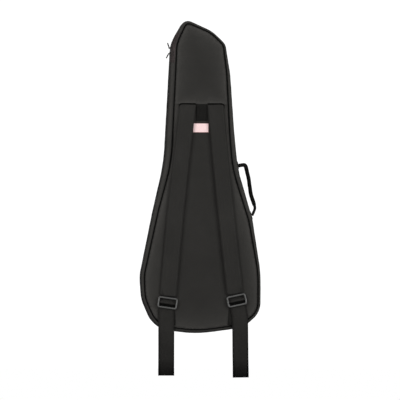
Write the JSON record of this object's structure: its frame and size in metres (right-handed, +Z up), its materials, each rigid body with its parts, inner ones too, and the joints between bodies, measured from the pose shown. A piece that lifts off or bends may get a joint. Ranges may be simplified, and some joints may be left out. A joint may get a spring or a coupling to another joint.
{
  "type": "padded gig bag",
  "caption": "Padded soft case for an electric guitar: zipped clamshell with piped gussets, backpack straps on slider buckles, side carry handle, hang loop and a front pocket.",
  "frame": {"origin": "under the middle of the bag in the zip's plane, level with the lower end of the hanging strap webbing", "axes": "+Z up towards the headstock end, -Y out of the back panel that carries the shoulder straps, +X towards the carry handle"},
  "size_m": [0.3932, 0.1295, 1.1688],
  "materials": {
    "bag_nylon": "matte woven nylon",
    "piping": "corded binding",
    "foam": "closed-cell foam padding",
    "lining": "brushed plush",
    "air_mesh": "spacer mesh",
    "webbing": "ribbed nylon webbing",
    "handle_grip": "padded sleeve",
    "scuff_guard": "coarse rubberised weave",
    "label": "woven satin label",
    "zip_tape": "woven zip tape",
    "zip_teeth": "nylon coil",
    "zip_metal": "dull nickel",
    "buckle_plastic": "moulded acetal"
  },
  "bodies": {
    "back_half": {"back_gusset": "bag_nylon", "back_panel_lower": "bag_nylon", "back_panel_upper": "bag_nylon", "back_piping": "piping", "back_foam": "foam", "back_lining": "lining", "zip_tape_back": "zip_tape", "zip_teeth_back": "zip_teeth", "spine_web": "bag_nylon", "headstock_guard": "scuff_guard", "label_patch": "label", "neck_strap": "webbing", "handle_anchors": "webbing", "handle_webbing_upper": "webbing", "handle_webbing_lower": "webbing", "strap_left_leg": "webbing", "strap_right_leg": "webbing"},
    "lid": {"front_gusset": "bag_nylon", "front_panel": "bag_nylon", "front_piping": "piping", "front_foam": "foam", "front_lining": "lining", "zip_tape_front": "zip_tape", "zip_teeth_front": "zip_teeth", "pocket_gusset": "bag_nylon", "pocket_piping": "piping", "pocket_panel_lower": "bag_nylon", "pocket_panel_upper": "bag_nylon", "pocket_zip_tape": "zip_tape", "pocket_zip_teeth": "zip_teeth"},
    "lower_slider": {"zip_slider_lower": "zip_metal"},
    "lower_pull": {"zip_pull_lower": "zip_metal"},
    "upper_slider": {"zip_slider_upper": "zip_metal"},
    "upper_pull": {"zip_pull_upper": "zip_metal"},
    "pocket_slider_body": {"pocket_slider": "zip_metal"},
    "pocket_pull_body": {"pocket_pull": "zip_metal"},
    "handle": {"handle_grip": "handle_grip"},
    "loop": {"hang_loop": "webbing"},
    "strap_left": {"strap_left_foam": "foam", "strap_left_mesh": "air_mesh", "strap_left_face": "bag_nylon", "strap_left_binding": "piping", "strap_left_tab": "webbing"},
    "buckle_left_body": {"buckle_left": "buckle_plastic", "strap_left_wrap": "webbing"},
    "tail_left": {"strap_left_tail": "webbing"},
    "strap_right": {"strap_right_foam": "foam", "strap_right_mesh": "air_mesh", "strap_right_face": "bag_nylon", "strap_right_binding": "piping", "strap_right_tab": "webbing"},
    "buckle_right_body": {"buckle_right": "buckle_plastic", "strap_right_wrap": "webbing"},
    "tail_right": {"strap_right_tail": "webbing"}
  },
  "joints": [
    {"name": "lid_open", "type": "hinge", "parent": "back_half", "child": "lid", "pos_m": [0.2505, 0, 0], "axis": [0.1483, 0, -0.9889], "range_deg": [0, 100], "deforming": ["spine_web"]},
    {"name": "zip_lower_slide", "type": "slide", "parent": "back_half", "child": "lower_slider", "axis": [-0.0551, 0, -0.9985], "range_m": [0, 0.29]},
    {"name": "zip_lower_pull_swing", "type": "hinge", "parent": "lower_slider", "child": "lower_pull", "pos_m": [-0.10345, 0, 1.0628], "axis": [0, 1, 0], "range_deg": [-20, 110]},
    {"name": "zip_upper_slide", "type": "hinge", "parent": "back_half", "child": "upper_slider", "pos_m": [0.02194, 0, 1.06289], "axis": [0, 1, 0], "range_deg": [0, 17]},
    {"name": "zip_upper_pull_swing", "type": "hinge", "parent": "upper_slider", "child": "upper_pull", "pos_m": [-0.10186, 0, 1.08153], "axis": [0, -1, 0], "range_deg": [-20, 110]},
    {"name": "pocket_zip_slide", "type": "slide", "parent": "lid", "child": "pocket_slider_body", "axis": [1, 0, 0], "range_m": [0, 0.22]},
    {"name": "pocket_pull_swing", "type": "hinge", "parent": "pocket_slider_body", "child": "pocket_pull_body", "pos_m": [-0.11, 0.0668, 0.525], "axis": [0, 0, 1], "range_deg": [0, 140]},
    {"name": "handle_swing", "type": "hinge", "parent": "back_half", "child": "handle", "pos_m": [0.125, -0.0235, 0.694], "axis": [0.2634, 0, -0.9647], "range_deg": [-20, 45], "deforming": ["handle_webbing_upper", "handle_webbing_lower"]},
    {"name": "hang_loop_lift", "type": "hinge", "parent": "back_half", "child": "loop", "pos_m": [0.0015, -0.0478, 0.895], "axis": [-1, 0, 0], "range_deg": [0, 120]},
    {"name": "strap_left_swing", "type": "hinge", "parent": "back_half", "child": "strap_left", "pos_m": [-0.0445, -0.0478, 0.895], "axis": [-1, 0, 0], "range_deg": [0, 20], "deforming": ["strap_left_leg"]},
    {"name": "buckle_left_tilt", "type": "hinge", "parent": "strap_left", "child": "buckle_left_body", "pos_m": [-0.10877, -0.054, 0.25934], "axis": [-0.9903, 0, 0.1392], "range_deg": [0, 25]},
    {"name": "tail_left_swing", "type": "hinge", "parent": "buckle_left_body", "child": "tail_left", "pos_m": [-0.11323, -0.054, 0.22766], "axis": [-0.9903, 0, 0.1392], "range_deg": [0, 30]},
    {"name": "strap_right_swing", "type": "hinge", "parent": "back_half", "child": "strap_right", "pos_m": [0.047, -0.0478, 0.895], "axis": [-1, 0, 0], "range_deg": [0, 20], "deforming": ["strap_right_leg"]},
    {"name": "buckle_right_tilt", "type": "hinge", "parent": "strap_right", "child": "buckle_right_body", "pos_m": [0.11217, -0.054, 0.26715], "axis": [-0.9781, 0, -0.2079], "range_deg": [0, 25]},
    {"name": "tail_right_swing", "type": "hinge", "parent": "buckle_right_body", "child": "tail_right", "pos_m": [0.11883, -0.054, 0.23585], "axis": [-0.9781, 0, -0.2079], "range_deg": [0, 30]}
  ]
}
